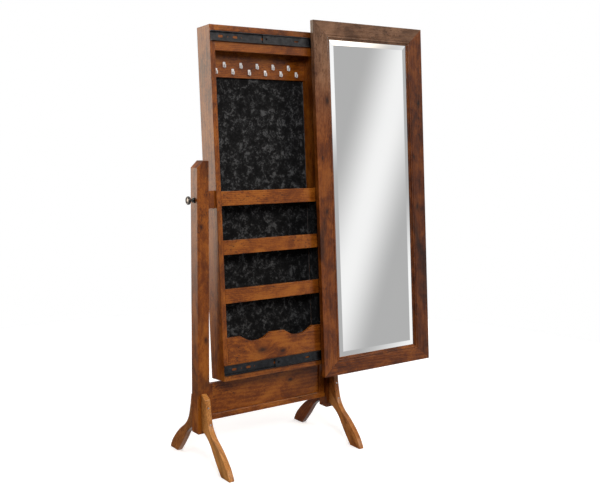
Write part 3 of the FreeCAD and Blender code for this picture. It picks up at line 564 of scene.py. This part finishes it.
# ---------------------------------------------------------------------------------------------
# Mesh pieces
# ---------------------------------------------------------------------------------------------
def piece_from(name, bm, made, body, turn=None):
    """A finished mesh piece from a bmesh laid out upright, unless turn says otherwise."""
    mesh = bpy.data.meshes.new(name)
    bmesh.ops.recalc_face_normals(bm, faces=bm.faces)
    bm.to_mesh(mesh)
    bm.free()
    mesh.transform(LEANED if turn is None else turn)
    for face in mesh.polygons:
        face.use_smooth = True
    piece = bpy.data.objects.new(name, mesh)
    SCENE.collection.objects.link(piece)
    mesh.materials.append(made)
    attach(piece, body)
    return piece


PANEL_CELL = 0.004
ROLLED_EDGE = 0.0035
CRUSH_DEPTH = 0.0007
ROLL_DEPTH = 0.0013


def crushed_depth(point):
    """How deep the pile is pressed in at a point."""
    crush = noise.noise(point * 70.0) + 0.5 * noise.noise(point * 160.0)
    return CRUSH_DEPTH * min(1.0, max(0.0, 0.55 - 0.6 * crush))


def fabric_panel(name, low, high, axis, sign, node, support):
    """A glued velvet sheet in a CAD box. Its face, along sign on axis, is crushed and its edges roll in."""
    across = [i for i in range(3) if i != axis]
    counts = [max(2, round((high[i] - low[i]) / PANEL_CELL)) for i in across]
    face_at = high[axis] if sign > 0 else low[axis]
    back_at = low[axis] if sign > 0 else high[axis]
    bm = bmesh.new()
    grid = []
    for i in range(counts[0] + 1):
        line = []
        for j in range(counts[1] + 1):
            point = Vector((0, 0, 0))
            for k, (step, count) in enumerate(((i, counts[0]), (j, counts[1]))):
                point[across[k]] = low[across[k]] + (high[across[k]] - low[across[k]]) * step / count
            to_edge = min(min(point[k] - low[k], high[k] - point[k]) for k in across)
            roll = max(0.0, 1.0 - to_edge / ROLLED_EDGE)
            point[axis] = face_at - sign * (crushed_depth(point) + ROLL_DEPTH * roll * roll)
            line.append(bm.verts.new(point))
        grid.append(line)
    for i in range(counts[0]):
        for j in range(counts[1]):
            bm.faces.new((grid[i][j], grid[i + 1][j], grid[i + 1][j + 1], grid[i][j + 1]))
    rim = [grid[i][0] for i in range(counts[0] + 1)] + grid[-1][1:]
    rim += [grid[i][-1] for i in range(counts[0] - 1, -1, -1)]
    rim += [grid[0][j] for j in range(counts[1] - 1, 0, -1)]
    behind = []
    for vert in rim:
        point = vert.co.copy()
        point[axis] = back_at
        behind.append(bm.verts.new(point))
    for k in range(len(rim)):
        after = (k + 1) % len(rim)
        bm.faces.new((rim[k], behind[k], behind[after], rim[after]))
    bm.faces.new(behind)
    piece = piece_from(name, bm, VELVET, "cabinet")
    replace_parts(piece, node)


for number in (1, 2, 3, 4):
    node = f"back_lining_{number}"
    fabric_panel(f"velvet_back_{number}", *islands(node)[0], 1, -1, node, "back_panel")
for number, (low, high) in enumerate(sorted(islands("tray_pads"), key=lambda b: -b[0].z), start=1):
    shelf = min(("shelf_1", "shelf_2", "shelf_3"), key=lambda s: abs(upright_box(s)[1].z - low.z))
    fabric_panel(f"velvet_tray_{number}", low, high, 2, 1, "tray_pads", shelf)
fabric_panel("velvet_pocket_floor", *islands("pocket_pad")[0], 2, 1, "pocket_pad", "bottom_board")
# velvet on the side walls of the compartments: a dark sheet that stands in for the shade on those walls,
# which is painted shade
for number, (low, high) in enumerate(islands("side_linings"), start=1):
    side, sign = ("side_left", 1) if low.x < 0 else ("side_right", -1)
    fabric_panel(f"painted_shade_wall_{number}", low, high, 0, sign, "side_linings", side)


def frame_for(direction):
    """A rotation that carries +Z onto direction."""
    return Vector(direction).to_track_quat("Z", "Y").to_matrix().to_4x4()


def circle(bm, place, radius, height, segments):
    """Add a ring of vertices about Z of place, or one vertex where the radius is nothing."""
    if radius < 1e-7:
        return [bm.verts.new(place @ Vector((0, 0, height)))]
    angles = [math.tau * k / segments for k in range(segments)]
    spots = [Vector((radius * math.cos(a), radius * math.sin(a), height)) for a in angles]
    return [bm.verts.new(place @ spot) for spot in spots]


def skin(bm, rings, segments):
    """Join each ring of vertices to the next one with faces."""
    for a, b in zip(rings, rings[1:]):
        for k in range(segments):
            after = (k + 1) % segments
            corners = [a[k % len(a)], a[after % len(a)], b[after % len(b)], b[k % len(b)]]
            unique = list(dict.fromkeys(corners))
            if len(unique) > 2:
                bm.faces.new(unique)


TURNED_SEGMENTS = 40


def lathe(bm, place, profile):
    """Add a turned form: profile is (radius, height) pairs about Z of place."""
    rings = [circle(bm, place, radius, height, TURNED_SEGMENTS) for radius, height in profile]
    skin(bm, rings, TURNED_SEGMENTS)


# (radius, height) of the knob and of the pale disc in its dish, a painted reflection, as shares of the knob's
# radius and length
KNOB_FOOT = [(0.0, 0.0), (0.50, 0.0), (0.56, 0.02), (0.56, 0.10), (0.50, 0.13)]
KNOB_WAIST = [(0.34, 0.18), (0.30, 0.30), (0.31, 0.44), (0.42, 0.54), (0.72, 0.60), (0.92, 0.66)]
KNOB_HEAD = [(1.0, 0.75), (1.0, 0.84), (0.96, 0.93), (0.88, 0.985), (0.78, 1.0)]
KNOB_DISH = [(0.66, 0.985), (0.60, 0.93), (0.58, 0.88), (0.0, 0.88)]
KNOB_SHAPE = KNOB_FOOT + KNOB_WAIST + KNOB_HEAD + KNOB_DISH
REFLECTION_RIM = [(0.0, 0.86), (0.57, 0.86), (0.56, 0.905), (0.50, 0.93)]
REFLECTION_SHAPE = REFLECTION_RIM + [(0.34, 0.945), (0.17, 0.95), (0.0, 0.952)]


def turned_knob(side, sign):
    """A turned clamp knob on its thin waist, with a dished end that holds a pale disc: a painted reflection
    of the bright surround.
    """
    node = "knob_" + side
    low, high = (Vector(corner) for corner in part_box(node))
    middle = (low + high) / 2
    radius, length = (high.z - low.z) / 2, high.x - low.x
    seat = Matrix.Translation((middle.x - sign * length / 2, middle.y, middle.z))
    place = seat @ frame_for((sign, 0, 0))
    for name, shape, made in (("clamp_knob_", KNOB_SHAPE, BRONZE), ("knob_painted_reflection_", REFLECTION_SHAPE, PAINTED_REFLECTION)):
        bm = bmesh.new()
        lathe(bm, place, [(r * radius, h * length) for r, h in shape])
        turned = piece_from(name + side, bm, made, node, turn=Matrix.Identity(4))
        if name == "clamp_knob_":
            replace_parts(turned, node)


turned_knob("left", -1)
turned_knob("right", 1)


def screw_head(bm, place, radius, height, shank=0.0):
    """Add a domed head with a cross recess, seated at the origin of place and facing +Z."""
    steps, segments = 9, TURNED_SEGMENTS
    cross_half, cross_reach = radius * 0.16, radius * 0.58
    rings = []
    for step in range(steps + 1):
        share = step / steps
        ring = []
        for k in range(segments if step else 1):
            angle = math.tau * k / segments
            x, y = radius * share * math.cos(angle), radius * share * math.sin(angle)
            in_cross = min(abs(x), abs(y)) < cross_half and max(abs(x), abs(y)) < cross_reach
            dome = height * (1.0 - 0.45 * share**3)
            ring.append(bm.verts.new(place @ Vector((x, y, dome - (height * 0.6 if in_cross else 0.0)))))
        rings.append(ring)
    rings.append(circle(bm, place, radius, 0.0, segments))
    for depth in (0.0, shank) if shank else ():
        rings.append(circle(bm, place, radius * 0.45, -depth, segments))
    skin(bm, rings, segments)
    bm.faces.new(rings[-1])


def at_middle(low, high, y, facing):
    """A place at the middle of a box in x and z, at some y, that faces -Y or +Y."""
    return Matrix.Translation(((low.x + high.x) / 2, y, (low.z + high.z) / 2)) @ frame_for((0, facing, 0))


HEAD_LEAST = 7 * MM
SLIDE_HEAD, SLIDE_HEAD_HEIGHT, SLIDE_SHANK = 4.2 * MM, 1.8 * MM, 8 * MM
for name, node, body, facing in (
    ("slide_screw_set", "slide_screws", "cabinet", -1),
    ("door_slide_screw_set", "door_slide_screws", "door", 1),
):
    bm = bmesh.new()
    for low, high in islands(node):
        if high.x - low.x > HEAD_LEAST:
            place = at_middle(low, high, high.y if facing < 0 else low.y, facing)
            screw_head(bm, place, SLIDE_HEAD, SLIDE_HEAD_HEIGHT, SLIDE_SHANK)
    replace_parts(piece_from(name, bm, BLACK_ZINC, body), node)

# bolts of the feet: each domed head stands on the sloping face of its foot
BOLT_HEAD, BOLT_HEAD_HEIGHT, BOLT_SINK, BOLT_SHANK = 3.2 * MM, 2.4 * MM, 2.6 * MM, 16 * MM
bm = bmesh.new()
for low, high in islands("foot_screws", Matrix.Identity(4)):
    facing = -1 if low.y < 0 else 1
    tip = low.y if facing < 0 else high.y
    place = at_middle(low, high, tip - facing * BOLT_SINK, facing)
    screw_head(bm, place, BOLT_HEAD, BOLT_HEAD_HEIGHT, BOLT_SHANK)
foot_bolts = piece_from("foot_bolts", bm, ZINC, "stand", Matrix.Identity(4))
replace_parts(foot_bolts, "foot_screws")


# ---------------------------------------------------------------------------------------------
# Hooks: a rounded plate with a screw, and a wire that curls out, down and up to a small ball
# ---------------------------------------------------------------------------------------------
WIRE_SEGMENTS = 14


def tube(bm, path, radius):
    """Add a round bar along a path of points, closed at both ends."""
    rings = []
    for index, point in enumerate(path):
        ahead = path[min(index + 1, len(path) - 1)] - path[max(index - 1, 0)]
        turn = ahead.normalized().to_track_quat("Z", "X").to_matrix().to_4x4()
        rings.append(circle(bm, Matrix.Translation(point) @ turn, radius, 0.0, WIRE_SEGMENTS))
    skin(bm, rings, WIRE_SEGMENTS)
    for ring in (rings[0], rings[-1]):
        bm.faces.new(ring)


def rounded_plate(bm, low, high, radius, edge):
    """Add a plate with rounded ends and softened edges between two corners; its face looks to -Y."""
    made = bmesh.ops.create_cube(bm, size=1.0)["verts"]
    size = high - low
    for vert in made:
        vert.co = Vector([low[i] + (vert.co[i] + 0.5) * size[i] for i in range(3)])
    edges = {e for v in made for e in v.link_edges}
    upright_edges = [e for e in edges if abs(e.verts[0].co.y - e.verts[1].co.y) > size.y * 0.5]
    result = bmesh.ops.bevel(bm, geom=upright_edges, offset=radius, segments=6, affect="EDGES", profile=0.5)
    faces = {f for v in result["verts"] for f in v.link_faces}
    front_edges = {e for f in faces for e in f.edges if all(abs(v.co.y - low.y) < 1e-7 for v in e.verts)}
    bmesh.ops.bevel(bm, geom=list(front_edges), offset=edge, segments=2, affect="EDGES", profile=0.5)


PLATE_THICKNESS, PLATE_EDGE, PLATE_LAP, PLATE_RISE = 1.6 * MM, 0.5 * MM, 0.9 * MM, 3 * MM
PLATE_CORNER = 0.30
HOOK_SCREW, HOOK_SCREW_HEIGHT, HOOK_SCREW_DROP = 2.6 * MM, 1.2 * MM, 4.5 * MM
WIRE, BALL, TIP_RISE, WIRE_DROP = 2.9 * MM, 3.2 * MM, 4.5 * MM, 10 * MM
CURL_STEPS = 12


def hook(bm, low, high):
    """Add one hook inside a box."""
    middle = (low.x + high.x) / 2
    plate_low = Vector((low.x - PLATE_LAP, high.y - PLATE_THICKNESS, low.z + PLATE_RISE))
    plate_high = Vector((high.x + PLATE_LAP, high.y, high.z))
    rounded_plate(bm, plate_low, plate_high, (high.x - low.x) * PLATE_CORNER, PLATE_EDGE)
    screw_at = Matrix.Translation((middle, plate_low.y, high.z - HOOK_SCREW_DROP))
    screw_head(bm, screw_at @ frame_for((0, -1, 0)), HOOK_SCREW, HOOK_SCREW_HEIGHT)
    bend = (high.y - low.y - 2 * WIRE) / 2
    centre_y, centre_z = high.y - WIRE - bend, low.z + WIRE + bend
    path = [
        Vector((middle, high.y - WIRE, high.z - WIRE_DROP)),
        Vector((middle, high.y - WIRE, centre_z + 2 * MM)),
    ]
    for step in range(CURL_STEPS + 1):
        angle = math.pi * step / CURL_STEPS
        path.append(Vector((middle, centre_y + bend * math.cos(angle), centre_z - bend * math.sin(angle))))
    tip = Vector((middle, low.y + WIRE, centre_z + TIP_RISE))
    path.append(tip)
    tube(bm, path, WIRE)
    ball = bmesh.ops.create_uvsphere(bm, u_segments=20, v_segments=12, radius=BALL)["verts"]
    for vert in ball:
        vert.co = vert.co + tip + Vector((0, 0.5 * MM, 0.6 * MM))


bm = bmesh.new()
for low, high in islands("hooks"):
    hook(bm, low, high)
hook_set = piece_from("hook_set", bm, NICKEL, "cabinet")
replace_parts(hook_set, "hooks")


# ---------------------------------------------------------------------------------------------
# Small fixings that the CAD leaves out
# ---------------------------------------------------------------------------------------------
def steps_between(start, end, pitch):
    """Evenly spaced places from start to end, about pitch apart."""
    count = max(2, round((end - start) / pitch))
    return [start + (end - start) * k / count for k in range(count + 1)]


def fixings_round(name, node, body, inset, pitch, radius, height):
    """Small zinc screws around the rear face of a flat leaning node."""
    low, high = upright_box(node)
    left, right, foot, head = low.x + inset, high.x - inset, low.z + inset, high.z - inset
    spots = [(x, z) for x in steps_between(left, right, pitch) for z in (foot, head)]
    spots += [(x, z) for z in steps_between(foot, head, pitch)[1:-1] for x in (left, right)]
    bm = bmesh.new()
    for x, z in spots:
        screw_head(bm, Matrix.Translation((x, high.y, z)) @ frame_for((0, 1, 0)), radius, height)
    piece_from(name, bm, ZINC, body)


fixings_round("back_panel_screws", "back_panel", "cabinet", 12 * MM, 0.15, 3.0 * MM, 0.9 * MM)
fixings_round("mirror_stop_brads", "mirror_stops", "door", 4 * MM, 0.12, 1.1 * MM, 0.5 * MM)

# ---------------------------------------------------------------------------------------------
# Stage: pale floor, studio surround, soft lights, camera
# ---------------------------------------------------------------------------------------------
FLOOR_RADIUS = 2.6
FLOOR_PALE = (0.93, 0.93, 0.93, 1.0)
FLOOR_GLOW = 0.32
bm = bmesh.new()
bmesh.ops.create_circle(bm, cap_ends=True, segments=96, radius=FLOOR_RADIUS)
floor_mesh = bpy.data.meshes.new("floor")
bm.to_mesh(floor_mesh)
bm.free()
floor = bpy.data.objects.new("floor", floor_mesh)
SCENE.collection.objects.link(floor)
floor_look = material(
    "pale_floor",
    Roughness=0.9,
    Specular_IOR_Level=0.0,
    Base_Color=FLOOR_PALE,
    Emission_Color=(1.0, 1.0, 1.0, 1.0),
    Emission_Strength=FLOOR_GLOW,
)[0]
floor_mesh.materials.append(floor_look)
floor.visible_diffuse = False
floor.visible_glossy = False

GREY, STRIPE, WHITE = 0.455, 0.95, 1.0
FRONT, BEHIND = 0.14, 0.42
WARM_LIGHT = (1.0, 0.86, 0.70)
world = bpy.data.worlds.new("studio")
SCENE.world = world
world.use_nodes = True
sky = Tree(world.node_tree)
direction = sky.node("ShaderNodeTexCoord").outputs["Generated"]
parts = sky.node("ShaderNodeSeparateXYZ", {0: direction}).outputs
DEGREE = 180 / math.pi
# azimuth is 0 towards the front and grows to the right
azimuth = sky.math("MULTIPLY", sky.math("ARCTAN2", parts[0], sky.math("MULTIPLY", parts[1], -1.0)), DEGREE)
elevation = sky.math("MULTIPLY", sky.math("ARCSINE", parts[2]), DEGREE)


def past(slope, at):
    """How far a direction lies past a slanted line, in degrees of azimuth."""
    return sky.math("SUBTRACT", azimuth, sky.math("MULTIPLY_ADD", elevation, slope, at))


# what the mirror shows: grey, with a soft white stripe from upper right to lower left, and white
# beyond two slanted edges, which only the ground bevels reach
upper_left = sky.remap(past(0.85, 25.2), -3.0, 1.0, 1.0, 0.0)
lower_right = sky.remap(past(0.7, 50.1), -1.5, 2.5)
stripe = sky.remap(sky.math("ABSOLUTE", past(0.37, 39.0)), 0.1, 2.9, 1.0, 0.0)
bright = sky.math("MAXIMUM", upper_left, lower_right)
tone = sky.math("MULTIPLY_ADD", stripe, STRIPE - GREY, GREY)


def crossfade(share, low, high):
    """The number low turned into the number high by share."""
    kept = sky.math("MULTIPLY", low, sky.math("SUBTRACT", 1.0, share))
    return sky.math("ADD", kept, sky.math("MULTIPLY", share, high))


def grey(level):
    """A grey colour of some level."""
    return sky.node("ShaderNodeCombineXYZ", {0: level, 1: level, 2: level}).outputs[0]


def glow(toward, inner, outer, level):
    """A soft round patch of light: full to inner degrees from its middle, and none past outer."""
    towards = Vector(toward).normalized()
    near = sky.vector("DOT_PRODUCT", direction, towards, output=1)
    edges = [math.cos(math.radians(angle)) for angle in (outer, inner)]
    return sky.math("MULTIPLY", sky.remap(near, *edges), level)


tone = crossfade(bright, tone, WHITE)
MIRRORED = Vector((0.643, -0.766, 0.03))
ahead = sky.vector("DOT_PRODUCT", direction, MIRRORED, output=1)
window = sky.remap(ahead, 0.90, 0.96)
surround = sky.remap(parts[1], -0.2, 0.5, FRONT, BEHIND)
tone = crossfade(window, surround, tone)
# patches overhead and to the right, and two warm ones that the left and the front faces reflect
overhead = glow((0.0, 0.0, 1.0), 25, 50, 0.9)
from_right = glow((0.96, 0.25, 0.15), 20, 42, 1.5)
warm_left = glow((-0.52, 0.84, 0.16), 12, 24, 3.4)
warm_front = glow((0.55, -0.70, 0.50), 7, 13, 6.0)
tone = sky.math("ADD", sky.math("ADD", tone, overhead), from_right)
warm = sky.math("ADD", warm_left, warm_front)
tone = sky.vector("MULTIPLY_ADD", grey(warm), WARM_LIGHT, tone)
# the surround is dark under the horizon, and pale again straight below, where the floor would be
above_floor = sky.remap(parts[2], -0.25, -0.15, 0.10, 1.0)
above_floor = sky.math("MAXIMUM", above_floor, sky.remap(ahead, 0.84, 0.90))
tone = sky.vector("MULTIPLY", tone, above_floor)
steep = sky.remap(parts[2], -0.68, -0.45, 0.6, 0.0)
tone = sky.vector("ADD", tone, grey(steep))
background = sky.node("ShaderNodeBackground", {"Color": tone, "Strength": 1.0})
plain = sky.node("ShaderNodeBackground", {"Color": (1.0, 1.0, 1.0, 1.0), "Strength": 1.0})
seen = sky.node("ShaderNodeLightPath").outputs["Is Camera Ray"]
both = sky.node("ShaderNodeMixShader", {0: seen, 1: background.outputs[0], 2: plain.outputs[0]})
sky.node("ShaderNodeOutputWorld", {0: both.outputs[0]})


def softbox(name, place, target, size, energy):
    """A square soft light of some size and power, turned to a target."""
    light = bpy.data.lights.new(name, "AREA")
    light.size = size
    light.energy = energy
    holder = bpy.data.objects.new(name, light)
    holder.location = place
    holder.rotation_mode = "QUATERNION"
    holder.rotation_quaternion = (Vector(target) - Vector(place)).to_track_quat("-Z", "Y")
    SCENE.collection.objects.link(holder)


softbox("key", (-1.5, -3.6, 2.9), (0.1, 0.0, 0.9), size=1.1, energy=80)
softbox("top", (0.3, -0.5, 4.2), (0.2, 0.0, 0.8), size=2.0, energy=26)

CAMERA_AT = Vector((-1.8883, -2.8371, 1.2625))
YAW, PITCH, ROLL = 0.623, -0.138, 0.011
LENS, SENSOR = 53.74, 36.0
camera_data = bpy.data.cameras.new("camera")
camera_data.lens = LENS
camera_data.sensor_width = SENSOR
camera = bpy.data.objects.new("camera", camera_data)
SCENE.collection.objects.link(camera)
aim = Matrix.Rotation(-YAW, 4, "Z") @ Matrix.Rotation(math.pi / 2 + PITCH, 4, "X")
camera.matrix_world = Matrix.Translation(CAMERA_AT) @ aim @ Matrix.Rotation(ROLL, 4, "Z")
SCENE.camera = camera
SCENE.view_settings.view_transform = "Standard"
